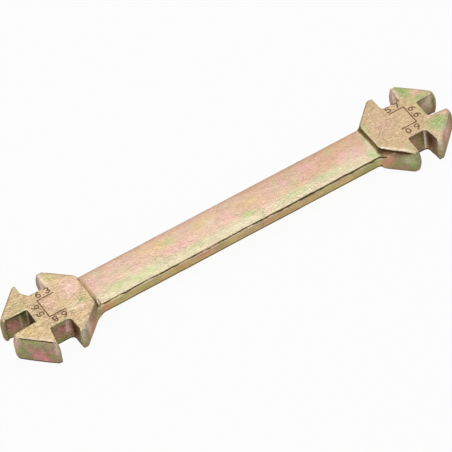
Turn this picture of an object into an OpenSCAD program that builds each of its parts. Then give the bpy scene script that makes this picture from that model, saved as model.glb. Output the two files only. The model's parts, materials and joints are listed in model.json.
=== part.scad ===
// Double-ended spoke wrench, drop-forged from one bar of steel and plated.
// A flat handle joins two square heads that stand corner-on. Each head has
// three open slots, one for each size of spoke nipple, at its three free
// corners. Its fourth corner steps down to the handle.
// Millimetres. +X points to the right-hand head and +Z up. The wrench lies
// on the bottom faces of its heads, with the origin under its middle.

/* [Handle] */
// Distance between the centres of the two heads
head_spacing = 127.6; // [100:0.2:180]
// Width of the handle
handle_w = 14; // [11:0.1:15]
// Thickness of the handle along its middle
handle_t = 4.7; // [3.5:0.1:6]
// How far each broad face of the handle falls away at its edges
handle_crown = 0.3; // [0.1:0.05:0.5]
// Radius of the fillet where the handle's sides run into a head
neck_fillet_r = 3; // [1:0.5:5]
// Radius of the fillet where the handle's broad faces run up to a head
step_fillet_r = 1.6; // [0.5:0.1:2.2]

/* [Heads] */
// Width across the flats of each square head, at its top face
head_square = 26.2; // [25:0.1:30]
// Thickness of each head
head_t = 9.2; // [7.5:0.1:12]
// How far the sides of a head stand out at half its thickness
side_bulge = 1; // [0.3:0.1:1.5]
// Distance from a head's centre to the blunt tips beside its side slots
side_tip_reach = 13.5; // [11:0.1:14]
// Distance from a head's centre to the blunt tips beside its end slot
end_tip_reach = 13.6; // [11.5:0.1:14.5]
// Distance from the left-hand head's centre to its step down to the handle
left_step_reach = 13; // [11:0.1:13.5]
// Distance from the right-hand head's centre to its step down to the handle
right_step_reach = 12.6; // [11:0.1:13.5]

/* [Left slots] */
// Nipple size of the slot in the left-hand head's end
left_end_size = 5.6; // [4:0.1:7]
// Nipple size of the slot on the left-hand head's far side
left_far_size = 6.3; // [4:0.1:7]
// Nipple size of the slot on the left-hand head's near side
left_near_size = 6.8; // [4:0.1:7]
// Distance from the left-hand head's centre to the floor of its end slot
left_end_floor = 5.8; // [5:0.1:8]

/* [Right slots] */
// Nipple size of the slot in the right-hand head's end
right_end_size = 6.6; // [4:0.1:7]
// Nipple size of the slot on the right-hand head's far side
right_far_size = 5.7; // [4:0.1:7]
// Nipple size of the slot on the right-hand head's near side
right_near_size = 6; // [4:0.1:7]
// Distance from the right-hand head's centre to the floor of its end slot
right_end_floor = 7; // [5:0.1:8]

/* [All slots] */
// How much wider each slot is than the nipple it fits
slot_clearance = 0.15; // [0.05:0.05:0.3]
// Distance from a head's centre to the floors of its side slots
side_floor = 7.5; // [6.5:0.1:8.5]
// Radius of the one corner of each slot that is well rounded
round_corner_r = 1.3; // [0.6:0.1:1.8]
// Radius of the other corner of each slot
sharp_corner_r = 0.3; // [0.2:0.05:0.5]

/* [Marks] */
// Width of the engraved lines of the bracket on each head
mark_w = 0.35; // [0.2:0.05:0.6]
// Depth of the engraved lines
mark_depth = 0.15; // [0.05:0.05:0.3]
// Length of the bracket's line along the handle's width
bracket_w = 7.8; // [5:0.1:10]
// Length of the bracket's two legs along the handle
bracket_l = 5.6; // [3:0.1:7]
// Distance from the left-hand head's centre to its bracket's cross line
left_bracket_x = 1.6; // [0:0.1:3]
// Distance from the right-hand head's centre to its bracket's cross line
right_bracket_x = 2.6; // [0:0.1:4]

/* [Hidden] */
$fn = 96;

// Angles, in degrees, by which one wall of a slot opens towards its mouth
left_end_flare = 2;
left_far_flare = 11;
left_near_flare = 12;
right_end_flare = 4;
right_far_flare = 6;
right_near_flare = 4;

// Length of bar that belongs to each head
neck_l = 3.2;
// How far a cut runs past the face it starts from
overrun = 1;
// How far a fillet or the handle's stub reaches into the solid that carries it
sunk = 2;
// Angle that the side fillets turn through, and the chords that draw them
fillet_turn = 45;
fillet_chords = 5;

head_x = head_spacing / 2;
half_diagonal = head_square / sqrt(2);
bulge_r = (pow(head_t / 2, 2) + pow(side_bulge, 2)) / (2 * side_bulge);
left_bar_end = head_x - left_step_reach - neck_l;
right_bar_end = head_x - right_step_reach - neck_l;
handle_half_w = handle_w / 2;
crown_r = (pow(handle_half_w, 2) + pow(handle_crown, 2)) / (2 * handle_crown);
ramp_r = min(step_fillet_r, (head_t - handle_t) / 2);

// Distance that the side of a head stands out at height z over its bottom
function bulge_at(z) = sqrt(pow(bulge_r, 2) - pow(z - head_t / 2, 2)) - bulge_r + side_bulge;

// Block as thick as a head, with two opposite sides bulged like a barrel's
module barrel(half_w) {
    half_l = half_diagonal + side_bulge;
    rotate([90, 0, 0])
        translate([0, 0, -half_l])
            linear_extrude(2 * half_l)
                intersection() {
                    translate([-half_w - side_bulge, 0])
                        square([2 * (half_w + side_bulge), head_t]);
                    union() {
                        translate([-half_w, 0])
                            square([2 * half_w, head_t]);
                        for (side = [-1, 1])
                            translate([side * (half_w + side_bulge - bulge_r), head_t / 2])
                                circle(bulge_r);
                    }
                }
}

// Square head without its slots, centred on the origin, its end towards +X
module head_block(step_reach) {
    block_l = end_tip_reach + side_bulge + overrun;
    intersection() {
        rotate([0, 0, 45])
            barrel(head_square / 2);
        rotate([0, 0, -45])
            barrel(head_square / 2);
        barrel(end_tip_reach);
        rotate([0, 0, 90])
            barrel(side_tip_reach);
        translate([-step_reach, -half_diagonal, 0])
            cube([step_reach + block_l, 2 * half_diagonal, head_t]);
    }
}

// Outline of a slot that opens along +Y, with its flared wall on the +X side
module slot_outline(size, floor, flare, plain_r, flared_r) {
    half_w = (size + slot_clearance) / 2;
    reach = half_diagonal + side_bulge;
    mouth = half_w + tan(flare) * (reach - floor - flared_r);
    polygon([
        [-half_w + plain_r, floor],
        [half_w - flared_r, floor],
        [half_w, floor + flared_r],
        [mouth, reach],
        [-half_w, reach],
        [-half_w, floor + plain_r]
    ]);
    translate([-half_w + plain_r, floor + plain_r])
        circle(plain_r);
    translate([half_w - flared_r, floor + flared_r])
        circle(flared_r);
}

// The solid that a slot takes out of a head
module slot_cut(size, floor, flare, plain_r, flared_r) {
    translate([0, 0, -overrun])
        linear_extrude(head_t + 2 * overrun)
            slot_outline(size, floor, flare, plain_r, flared_r);
}

// The slot in a head's end, with its flared wall on the near side
module end_slot(size, floor, flare, plain_r, flared_r) {
    rotate([0, 0, -90])
        slot_cut(size, floor, flare, plain_r, flared_r);
}

// The slot on a head's far side, with its flared wall towards the end
module far_slot(size, flare, plain_r, flared_r) {
    slot_cut(size, side_floor, flare, plain_r, flared_r);
}

// The slot on a head's near side, with its flared wall towards the end
module near_slot(size, flare, plain_r, flared_r) {
    mirror([0, 1, 0])
        slot_cut(size, side_floor, flare, plain_r, flared_r);
}

// Engraved bracket that the size numbers stand round
module bracket_cut(cross_x) {
    line_h = mark_depth + overrun;
    translate([0, 0, head_t - mark_depth]) {
        translate([cross_x - mark_w / 2, -bracket_w / 2 - mark_w / 2, 0])
            cube([mark_w, bracket_w + mark_w, line_h]);
        for (side = [-1, 1])
            translate([cross_x - bracket_l, side * bracket_w / 2 - mark_w / 2, 0])
                cube([bracket_l, mark_w, line_h]);
    }
}

// Bar with two slightly crowned broad faces, from x = start to x = end
module crowned_bar(start, end) {
    intersection() {
        translate([start, -handle_half_w, 0])
            cube([end - start, handle_w, head_t]);
        intersection_for (side = [-1, 1])
            translate([start, 0, head_t / 2 + side * (handle_t / 2 - crown_r)])
                rotate([0, 90, 0])
                    cylinder(r = crown_r, h = end - start, $fn = 360);
    }
}

// Fillet on the far side, where the handle's side runs into a head's side
module side_fillet() {
    edge_t = handle_t - 2 * handle_crown;
    diagonal = half_diagonal + sqrt(2) * bulge_at((head_t - edge_t) / 2);
    corner_x = handle_half_w - diagonal;
    tangent = neck_fillet_r * tan(fillet_turn / 2);
    step = fillet_turn / fillet_chords;
    translate([corner_x - tangent, handle_half_w, (head_t - edge_t) / 2])
        linear_extrude(edge_t)
            polygon([
                for (turn = [0 : step : fillet_turn])
                    neck_fillet_r * [sin(turn), 1 - cos(turn)],
                [tangent + sunk, -sunk],
                [0, -sunk]
            ]);
}

// Stub of the handle that belongs to a head, with its fillets
module neck(step_reach) {
    crowned_bar(-step_reach - neck_l, -step_reach + sunk);
    side_fillet();
    mirror([0, 1, 0])
        side_fillet();
    step_ramps(step_reach);
}

// Fillets between the head's step and the two broad faces of the handle
module step_ramps(step_reach) {
    ramp_half_w = half_diagonal - step_reach;
    for (side = [0, 1])
        translate([0, 0, side * head_t])
            mirror([0, 0, side])
                translate([-step_reach, ramp_half_w, head_t / 2 - handle_t / 2])
                    rotate([90, 0, 0])
                        linear_extrude(2 * ramp_half_w)
                            difference() {
                                translate([-ramp_r, -ramp_r])
                                    square([2 * ramp_r, ramp_r + handle_t / 2]);
                                translate([-ramp_r, -ramp_r])
                                    circle(ramp_r);
                            }
}

// Flat bar between the two heads
module handle() {
    color("burlywood")
        crowned_bar(-left_bar_end, right_bar_end);
}

// Left-hand head, which is drawn with its end towards +X and then mirrored
module head_left() {
    color("tan")
        mirror([1, 0, 0])
            translate([head_x, 0, 0])
                difference() {
                    union() {
                        head_block(left_step_reach);
                        neck(left_step_reach);
                    }
                    end_slot(left_end_size, left_end_floor, left_end_flare, round_corner_r / 2,
                             sharp_corner_r);
                    far_slot(left_far_size, left_far_flare, sharp_corner_r, round_corner_r);
                    near_slot(left_near_size, left_near_flare, round_corner_r, sharp_corner_r);
                    bracket_cut(left_bracket_x);
                }
}

// Right-hand head
module head_right() {
    color("tan")
        translate([head_x, 0, 0])
            difference() {
                union() {
                    head_block(right_step_reach);
                    neck(right_step_reach);
                }
                end_slot(right_end_size, right_end_floor, right_end_flare, sharp_corner_r,
                         round_corner_r / 2);
                far_slot(right_far_size, right_far_flare, round_corner_r, sharp_corner_r);
                near_slot(right_near_size, right_near_flare, sharp_corner_r, round_corner_r);
                bracket_cut(right_bracket_x);
            }
}

handle();
head_left();
head_right();
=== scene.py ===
"""Looks of the spoke wrench: one plated forging with engraved sizes, on a pale floor."""
import json
import math
from collections import namedtuple

import bpy
import numpy as np
from mathutils import Matrix, Vector


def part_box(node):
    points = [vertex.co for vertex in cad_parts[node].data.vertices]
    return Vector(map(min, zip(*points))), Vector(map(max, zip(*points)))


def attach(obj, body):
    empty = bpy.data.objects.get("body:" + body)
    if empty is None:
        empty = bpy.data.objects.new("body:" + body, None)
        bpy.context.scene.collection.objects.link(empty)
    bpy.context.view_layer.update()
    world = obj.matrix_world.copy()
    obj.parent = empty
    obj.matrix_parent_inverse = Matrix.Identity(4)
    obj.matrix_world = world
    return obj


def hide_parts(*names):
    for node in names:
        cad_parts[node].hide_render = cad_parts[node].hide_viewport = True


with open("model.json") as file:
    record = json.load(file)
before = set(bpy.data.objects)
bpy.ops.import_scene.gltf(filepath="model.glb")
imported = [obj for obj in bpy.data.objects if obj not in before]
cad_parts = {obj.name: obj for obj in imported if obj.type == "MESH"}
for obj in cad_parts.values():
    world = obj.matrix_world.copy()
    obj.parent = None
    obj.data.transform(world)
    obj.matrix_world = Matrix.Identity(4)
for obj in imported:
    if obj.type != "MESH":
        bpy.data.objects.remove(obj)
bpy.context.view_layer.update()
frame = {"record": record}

# Lengths below are in millimetres. MM turns them into the frame's metres.
MM = 0.001

# Sizes taken from the frame
mounts = {mount["name"]: mount for mount in frame["record"]["mounts"]}
head_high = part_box("head_right")[1]
bar_low, bar_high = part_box("handle")
HEAD_X = mounts["rest_right"]["pos_m"][0] / MM
HEAD_T = head_high.z / MM
HANDLE_T = (bar_high.z - bar_low.z) / MM
BAR_END = bar_high.x / MM
HALF_W = bar_high.y / MM
MID_Z = HEAD_T / 2

# Handle
HANDLE_CROWN = 0.3
FAR_EDGE_R = 0.35
NEAR_EDGE_R = 0.5
NEAR_LEDGE = 0.3
BAR_SUNK = 4.0

# Trimmed band along the handle's near side, with heights measured from the handle's middle
BAND_TOP = 1.6
BAND_BOTTOM = -2.0
BAND_EDGE_R = 0.2

# Wandering lap over the band, where the dies' flash was pressed in. A wave is its size, share and seed
LAP_DEPTH = 0.22
LAP_W = 0.17
LAP_WANDER = 0.1
LAP_WAVES = ((3.1, 1.0, 5), (1.1, 0.5, 6))
LAP_MEAN_SHARE = 0.8
LAP_SWING_SHARE = 0.4
LAP_SWING_SIZE = 2.3
LAP_SWING_SEED = 7
LAP_SIDE_Y = -4.0
LAP_START = -50.4
LAP_END = 52.4
LAP_START_FADE = (0.0, 1.5)
LAP_END_FADE = (0.0, -1.0)

# Heads, in places measured from a head's centre
HEAD_SQUARE = 26.2
HALF_DIAGONAL = HEAD_SQUARE / math.sqrt(2)
LEFT_STEP = 13.0
RIGHT_STEP = 12.6
REAR_HALF_W = HALF_DIAGONAL - RIGHT_STEP
SIDE_BULGE = 0.95
BULGE_R = ((HEAD_T / 2) ** 2 + SIDE_BULGE ** 2) / (2 * SIDE_BULGE)
SIDE_TIP = 13.45
LEFT_END_TIP = 13.55
RIGHT_END_TIP = 13.25
TIP_WALL_R = 0.4
TIP_OUTER_R = 0.9
TIP_ZONE = 1.8
KNEE_R = 1.5
LEFT_REAR_R = 3.0
RIGHT_REAR_R = 4.5
HEAD_EDGE_R = 0.4
TIP_WEAR = 0.3
FOOT_EDGE_R = 0.16
FOOT_WEAR = 0.15
FOOT_FADE = (-1.0, 3.0)
SLOT_EDGE_R = 0.14
STEP_EDGE_FADE = (-0.8, -0.3)
FACE_INSET = 0.03

# Fillets between the handle and a head: beside the neck, over the handle, and at the handle's corners
NECK_BLEND = 1.9
STEP_BLEND = 1.0
CORNER_BLEND = 0.8
CORNER_FADE = (5.4, 6.4)
OVER_BAR_FADE = (1.0, 2.0)

# Laps that the dies left under the top edges of two lobes
GROOVE_RISE = (0.0, 1.2)
GROOVE_FALL = (2.2, -1.0)
SWELL_FADE = (5.0, 0.5)
NO_GROOVE_R = 0.1
INSET_H = 4.5

# Curled lip that the dies left on the handle's face beside the left head's step
LIP_OFFSET = 0.8
LIP_NEAR = -6.1
LIP_FAR = -3.8
LIP_R = 0.29
LIP_FAR_BEND = 0.28
LIP_NEAR_BEND = 0.2
LIP_FAR_FADE = (0.4, -0.6)
LIP_NEAR_FADE = (1.2, 0.0)

# Forged unevenness. A lump is its size, height and seed, and all of them are sunk to stay in the solid
LUMPS = ((5.0, 0.05, 20), (1.7, 0.02, 21))
LUMP_SINK_SHARE = 0.6
HEAD_LUMP_SHARE = 0.25
LUMP_FADE = 5.0

# Grid that the forging's surface is drawn on, and how finely its fields are sampled
HEAD_STEP = 0.27
BAR_STEP = 0.55
MARGIN = 0.4
END_ROOM = 3.0
FINE_ZONE = 4.0
HEAD_ZONE = 5.0
OUTSIDE = 5.0
PROBE = 0.02
BEND_PROBE = 0.15
SETTLE_ROUNDS = 3
LEAST_SLOPE = 0.2
TINY = 1e-9
ARC_CHORDS = 6
NOISE_CELLS = 32

# Fades of what is painted on the forging, from the value where each starts to where it is full.
# Those in the first group are distances from a step towards the head's centre
ON_HEAD_FADE = (-1.2, 0.4)
SOFT_HEAD_FADE = (-2.2, 2.2)
STEP_RISE = (-1.7, -1.1)
STEP_FALL = (0.5, 0.2)
FOOT_RISE = (-1.8, -1.3)
FOOT_FALL = (0.45, 0.1)
REAR_FADE = (1.1, 0.6)
# Places across the handle
FOOT_Y_FADE = (6.8, 4.0)
NOOK_FADE = (-1.5, -5.5)
REAR_Y_FADE = (-5.5, -3.0)
# Heights over the handle's middle, over the head's top and over the lower edge
ABOVE_BAR_FADE = (1.6, 2.1)
TOP_EDGE_FADE = (-0.8, -0.4)
GLOW_TOP_FADE = (-0.5, -0.2)
LOW_RIM_FADE = (0.95, 0.4)
# Distances from the band's top edge, the lip and a lobe's set-back side
BAND_LINE_DROP = 0.15
BAND_LINE_FADE = (0.3, 0.1)
LIP_FADE = (0.12, 0.04)
GLOW_SIDE_FADE = (-1.1, -0.3)
# Slopes of the surface, and how sharply it bends
SIDE_FADE = (0.3, 0.75)
STEP_FACE_FADE = (0.3, 0.65)
BAND_SLOPE_FADE = (0.1, 0.4)
NEAR_FADE = (-0.1, 0.3)
NEAR_SKEW_SHARE = 0.6
FAR_SIDE_FADE = (0.2, 0.6)
EDGE_BEND_FADE = (0.8, 3.0)
HOLLOW_BEND_FADE = (1.2, 3.4)
# Strengths of the painted highlights and the painted shade, and the share of a head's rear that the far
# edges' painted shade leaves out
GLOW_SHARE = 0.8
LIP_SHARE = 0.8
BAND_EDGE_SHARE = 0.55
LOW_RIM_SHADE_SHARE = 0.95
FAR_EDGE_SHADE_SHARE = 0.55
REAR_UNSHADED_SHARE = 0.8
HOLLOW_SHARE = 0.8

# Painted dark lines of the laps, painted shade in their grooves. FAR_FROM_LAP counts in widths of the line
FAR_FROM_LAP = 3.0
LAP_LINE_W = 0.15
LAP_LINE_START_FADE = (0.0, -1.0)
LAP_LINE_END_FADE = (-0.5, 0.3)
LAP_LINE_SIDE_FADE = (-1.0, 0.0)
STEP_ROOM = 1.0
GROOVE_LINE_SHARE = 1.3
GROOVE_LINE_MORE = 0.03
GROOVE_LINE_LEAST = 0.05
GROOVE_LEAST_R = 0.03
GROOVE_BOLD_R = 0.2
GROOVE_TOP_GAP = 0.2
GROOVE_WALL_DEPTH = 1.0

# Plating: the middles of its noises, the reach of its fine lines, and strengths in colour and relief, among
# them painted shade in the creases and laps and painted highlights on the ridges and edges
NOISE_MEAN = 0.5
WRINKLE_MEAN = 0.48
CREASE_W = 0.03
RIDGE_GAP = 0.045
CREASE_SHADE = 0.14
RIDGE_SHINE = 0.12
CREASE_DEPTH = 0.6
RIDGE_HEIGHT = 0.4
BROAD_HEIGHT = 0.8
BUMP_HEIGHT = 0.2
TINT_WAVE_SHARE = 0.8
EDGE_HIGHLIGHT_SHARE = 0.7
LAP_BOLD_REACH = 1.1
LAP_CORE_REACH = 0.3

# Engraving
MARK_W = 0.46
DIGIT_STROKE = 0.47
MARK_SINK = 0.1
MARK_PROUD = 0.012
MARK_WEAR = 0.03
MARK_WEAR_SIZE = 0.35
MARK_WEAR_SEED = 9
MARK_MARGIN = 0.5
MARK_STEP = 0.09
DIGIT_W = 1.32
DIGIT_H = 2.05
DIGIT_PITCH = 3.2
DOT_R = 0.24

# Camera, with its angles in degrees
CAMERA_TURN = 24.045
CAMERA_DROP = 48.304
CAMERA_ROLL = 9.451
CAMERA_TARGET = (-1.983, -0.807, 4.58)
CAMERA_DISTANCE = 1190.71
CAMERA_LENS = 310.23
SENSOR_W = 36
CLIP_NEAR = 50
CLIP_FAR = 20000

# Studio, with its lengths in metres
FLOOR_HALF = 3.0
FLOOR_GREY = 0.9
FLOOR_GLOW_SHARE = 0.94
SKY_GREY = 0.44

Corner = namedtuple("Corner", "u v radius before after")
Head = namedtuple("Head", "side points shares foot step end_tip groove")
Groove = namedtuple("Groove", "front start end drop radius swell inset")
Bracket = namedtuple("Bracket", "cross_x leg_x near_y far_y")
Size = namedtuple("Size", "figures centre up")
Lamp = namedtuple("Lamp", "name place size power")

LAMPS = (
    Lamp("key_lamp", place=(0.06, 0.13, 0.69), size=0.55, power=1.45),
    Lamp("side_lamp", place=(-0.7, -0.3, 0.35), size=0.4, power=0.95),
)


def slot(low, low_mouth, high, high_mouth, floor, low_r, high_r, knee=None):
    """Corners of a slot and of the blunt tips beside it, in the order low tip, slot, high tip.

    Each is (offset across the slot, distance from the head's centre, radius, bulge before, bulge after).
    A knee is a further corner of the high wall."""
    knees = [(*knee, KNEE_R, 0, 0)] if knee else []
    return [
        (None, None, TIP_OUTER_R, 1, 1),
        (low_mouth, None, TIP_WALL_R, 1, 0),
        (low, floor, low_r, 0, 0),
        (high, floor, high_r, 0, 0),
        *knees,
        (high_mouth, None, TIP_WALL_R, 0, 1),
        (None, None, TIP_OUTER_R, 1, 1),
    ]


def head_corners(near, end, far, end_tip, step, rear_r):
    """Corners round a head's top face, from its near rear corner by its end to its far rear corner."""
    corners = [Corner(-step, -REAR_HALF_W, rear_r, 0, 1)]
    for turn, cut, tip in ((-1, near, SIDE_TIP), (0, end, end_tip), (1, far, SIDE_TIP)):
        row = []
        for k, (offset, reach, radius, before, after) in enumerate(cut):
            side = -1 if k == 0 else 1
            offset = side * (HALF_DIAGONAL - tip) if offset is None else offset
            reach = tip if reach is None else reach
            place = (reach, offset) if turn == 0 else (offset, turn * reach)
            row.append(Corner(*place, radius, before, after))
        if turn == 1:
            row = [corner._replace(before=corner.after, after=corner.before) for corner in row[::-1]]
        corners += row
    corners.append(Corner(-step, REAR_HALF_W, rear_r, 1, 0))
    return corners


def rounded_outline(corners):
    """Points round a closed outline whose corners are arcs, and the share of the bulge at each."""
    points, shares = [], []
    for k, corner in enumerate(corners):
        here = np.array(corner[:2])
        back = np.array(corners[k - 1][:2]) - here
        ahead = np.array(corners[(k + 1) % len(corners)][:2]) - here
        back, ahead = back / np.hypot(*back), ahead / np.hypot(*ahead)
        half = math.acos(np.clip(back @ ahead, -1, 1)) / 2
        middle = (back + ahead) / np.hypot(*(back + ahead))
        centre = here + middle * corner.radius / math.sin(half)
        first = here + back * corner.radius / math.tan(half) - centre
        last = here + ahead * corner.radius / math.tan(half) - centre
        start = math.atan2(first[1], first[0])
        turn = math.atan2(first[0] * last[1] - first[1] * last[0], first @ last)
        for t in np.linspace(0, 1, ARC_CHORDS + 1):
            angle = start + turn * t
            points.append(centre + corner.radius * np.array([math.cos(angle), math.sin(angle)]))
            fall = t if corner.before > corner.after else 1 - t
            shares.append(corner.before if corner.before == corner.after else 1 - fall ** 3)
    return np.array(points), np.array(shares)


def outline_distance(u, v, points, shares):
    """Distance to an outline, negative inside it, and the share of the bulge at its nearest point."""
    u, v = np.broadcast_arrays(u, v)
    nearest = np.full(u.shape, np.inf)
    share = np.zeros(u.shape)
    inside = np.zeros(u.shape, bool)
    ends = np.roll(points, -1, axis=0)
    end_shares = np.roll(shares, -1)
    for (pu, pv), (qu, qv), p_share, q_share in zip(points, ends, shares, end_shares):
        du, dv = qu - pu, qv - pv
        along = np.clip(((u - pu) * du + (v - pv) * dv) / (du * du + dv * dv), 0, 1)
        gap = np.hypot(u - pu - along * du, v - pv - along * dv)
        closer = gap < nearest
        nearest = np.where(closer, gap, nearest)
        share = np.where(closer, p_share + along * (q_share - p_share), share)
        if dv:
            crosses = (pv > v) != (qv > v)
            inside ^= crosses & (u < pu + (v - pv) * du / dv)
    return np.where(inside, -nearest, nearest), share


def round_max(a, b, radius):
    """The larger of two fields, with the outer edge between their surfaces rounded."""
    corner = np.hypot(np.maximum(a + radius, 0), np.maximum(b + radius, 0))
    return np.minimum(-radius, np.maximum(a, b)) + corner


def round_min(a, b, radius):
    """The smaller of two fields, with the inner corner between their surfaces filled."""
    return -round_max(-a, -b, radius)


def ease(value, start, end):
    """Smooth step from 0 at start to 1 at end."""
    t = np.clip((value - start) / (end - start), 0, 1)
    return t * t * (3 - 2 * t)


def noise(x, y, z, size, seed):
    """Smooth noise from -1 to 1 whose lumps are about size across."""
    table = np.random.default_rng(seed).uniform(-1, 1, (NOISE_CELLS, NOISE_CELLS, NOISE_CELLS))
    cells, parts = [], []
    for c in (x, y, z):
        cell = np.floor(np.asarray(c) / size).astype(int)
        part = c / size - cell
        cells.append(cell)
        parts.append(part * part * (3 - 2 * part))
    total = 0
    for corner in np.ndindex(2, 2, 2):
        weight = 1
        for part, high in zip(parts, corner):
            weight = weight * (part if high else 1 - part)
        at = tuple((cell + high) % NOISE_CELLS for cell, high in zip(cells, corner))
        total = total + weight * table[at]
    return total


def bar_field(x, y, z):
    """Field of the handle: crowned faces, and a trimmed band that stands out along the near side."""
    lift = z - MID_Z
    face = np.abs(lift) + HANDLE_CROWN * (y / HALF_W) ** 2 - HANDLE_T / 2
    edge_r = np.where(y > 0, FAR_EDGE_R, NEAR_EDGE_R)
    crown = round_max(face, np.abs(y) - HALF_W + NEAR_LEDGE * (y < 0), edge_r)
    band_h = (BAND_TOP - BAND_BOTTOM) / 2
    band_lift = np.abs(lift - (BAND_TOP + BAND_BOTTOM) / 2)
    band = round_max(np.abs(y) - HALF_W, band_lift - band_h, BAND_EDGE_R)
    return np.maximum(np.minimum(crown, band), np.abs(x) - (HEAD_X - RIGHT_STEP + BAR_SUNK))


def lap_rise(x, y, z):
    """Height over the wandering line of the lap."""
    wander = sum(share * noise(x, 0 * y, 0 * z, size, seed) for size, share, seed in LAP_WAVES)
    return z - MID_Z - BAND_TOP - LAP_WANDER * wander


def lap_depth(x, y, z):
    """Depth of the lap that the pressed-in flash leaves along that line."""
    swing = noise(x, 0 * y, 0 * z, LAP_SWING_SIZE, LAP_SWING_SEED)
    strength = LAP_MEAN_SHARE + LAP_SWING_SHARE * swing
    line = np.exp(-(lap_rise(x, y, z) / LAP_W) ** 2)
    ends = ease(x - LAP_START, *LAP_START_FADE) * ease(x - LAP_END, *LAP_END_FADE)
    return LAP_DEPTH * strength * line * ends * (y < LAP_SIDE_Y)


def groove_radius(groove, u, y, share):
    """Radius of a die lap along a lobe's side, which is below zero where there is none."""
    along = ease(-y - groove.start, *GROOVE_RISE) * ease(-y - groove.end, *GROOVE_FALL)
    swell = 1 + groove.swell * ease(-y - groove.start, *SWELL_FADE)
    mine = u * groove.front > 0
    return (swell * groove.radius + NO_GROOVE_R) * along * share * mine - NO_GROOVE_R


def flank_reach(groove, u, y):
    """Distance beyond a lobe's side that a die lap runs along, measured at the head's top face."""
    return (groove.front * u - y) / math.sqrt(2) - HEAD_SQUARE / 2 + groove.inset


def head_field(x, y, z, head):
    """Field of a head, which is only worked out in the rows of points that lie near it."""
    rows = head.side * x.reshape(len(x), -1)[:, 0] > HEAD_X - head.step - HEAD_ZONE
    field = np.full(np.broadcast_shapes(x.shape, y.shape, z.shape), OUTSIDE)
    x, y, z = (c[rows] if len(c) == len(rows) else c for c in (x, y, z))
    u = head.side * x - HEAD_X
    gap, share = outline_distance(u, y, head.points, head.shares)
    lift = np.clip(z - MID_Z, -HEAD_T / 2, HEAD_T / 2)
    bulge = np.sqrt(BULGE_R ** 2 - lift ** 2) - BULGE_R + SIDE_BULGE
    foot = head.foot * ease(u, *FOOT_FADE)
    bulge = np.where(lift < 0, foot + (1 - foot / SIDE_BULGE) * bulge, bulge)
    wall = gap - share * bulge
    groove = head.groove
    below = np.clip((HEAD_T - groove.drop - z) / INSET_H, 0, 1)
    wall = np.maximum(wall, flank_reach(groove, u, y) - groove.inset * below - bulge)
    face = np.abs(z - MID_Z) - HEAD_T / 2 + FACE_INSET
    tip = ease(np.maximum(np.abs(y) - SIDE_TIP, u - head.end_tip), -TIP_ZONE, 0)
    outer_r = np.where(z > MID_Z, HEAD_EDGE_R + TIP_WEAR * tip, FOOT_EDGE_R + FOOT_WEAR * tip)
    worn = np.maximum(share, ease(-u - head.step, *STEP_EDGE_FADE))
    solid = round_max(wall, face, SLOT_EDGE_R + worn * (outer_r - SLOT_EDGE_R))
    radius = groove_radius(groove, u, y, share)
    field[rows] = np.maximum(solid, radius - np.hypot(wall, z - HEAD_T + groove.drop))
    return field


def lip_field(x, y, z):
    """Field of the curled lip, a thin ridge that bends away from the step and back at its near end."""
    along = np.clip(y, LIP_NEAR, LIP_FAR)
    bend = LIP_FAR_BEND * ease(along - LIP_FAR, *LIP_FAR_FADE)
    bend = bend - LIP_NEAR_BEND * ease(along - LIP_NEAR, *LIP_NEAR_FADE)
    middle = LEFT_STEP - HEAD_X + LIP_OFFSET + bend
    top = MID_Z + HANDLE_T / 2 - HANDLE_CROWN * (along / HALF_W) ** 2
    return np.sqrt((x - middle) ** 2 + (y - along) ** 2 + (z - top) ** 2) - LIP_R


def forging_field(x, y, z):
    """Field of the whole forging, which is zero on its surface and negative inside."""
    heads = np.minimum(head_field(x, y, z, LEFT), head_field(x, y, z, RIGHT))
    over_bar = STEP_BLEND + ease(np.abs(y), *CORNER_FADE) * (CORNER_BLEND - STEP_BLEND)
    blend_r = NECK_BLEND + ease(z - MID_Z, *OVER_BAR_FADE) * (over_bar - NECK_BLEND)
    body = round_min(heads, bar_field(x, y, z), blend_r)
    body = np.minimum(body + lap_depth(x, y, z), lip_field(x, y, z))
    on_bar = 1 - ease(np.abs(x), BAR_END, BAR_END + LUMP_FADE)
    share = HEAD_LUMP_SHARE + (1 - HEAD_LUMP_SHARE) * on_bar
    for size, height, seed in LUMPS:
        body = body + share * height * (noise(x, y, z, size, seed) + LUMP_SINK_SHARE)
    return body


def grid_lines(low, high, step):
    """Even lines from low to high."""
    return np.linspace(low, high, int(round((high - low) / step)) + 1)


def surface_net(lines, field):
    """Points and quads of the closed surface where a field on a grid is zero."""
    inside = field < 0
    shape = np.array(field.shape) - 1
    offsets = [np.array(corner) for corner in np.ndindex(2, 2, 2)]
    count = np.zeros(shape, int)
    for i, j, k in offsets:
        count += inside[i:i + shape[0], j:j + shape[1], k:k + shape[2]]
    mixed = (count > 0) & (count < 8)
    cells = np.argwhere(mixed)
    number = np.full(shape, -1)
    number[mixed] = np.arange(len(cells))
    total = np.zeros((len(cells), 3))
    crossings = np.zeros(len(cells))
    for axis in range(3):
        step = np.eye(3, dtype=int)[axis]
        for offset in offsets:
            if offset[axis]:
                continue
            low, high = cells + offset, cells + offset + step
            a, b = field[tuple(low.T)], field[tuple(high.T)]
            crossed = (a < 0) != (b < 0)
            t = np.where(crossed, a / np.where(crossed, a - b, 1), 0)
            low_at, high_at = (np.stack([lines[n][at[:, n]] for n in range(3)], 1) for at in (low, high))
            total += crossed[:, None] * (low_at + t[:, None] * (high_at - low_at))
            crossings += crossed
    quads = []
    for axis in range(3):
        _, first, second = np.roll(np.eye(3, dtype=int), -axis, axis=0)
        changed = np.diff(inside, axis=axis)
        edges = np.argwhere(changed)
        around = [edges, edges - first, edges - first - second, edges - second]
        quad = np.stack([number[tuple(cell.T)] for cell in around], 1)
        outward = inside[tuple(edges.T)]
        quads.append(np.where(outward[:, None], quad, quad[:, ::-1]))
    return total / crossings[:, None], np.concatenate(quads)


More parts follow.
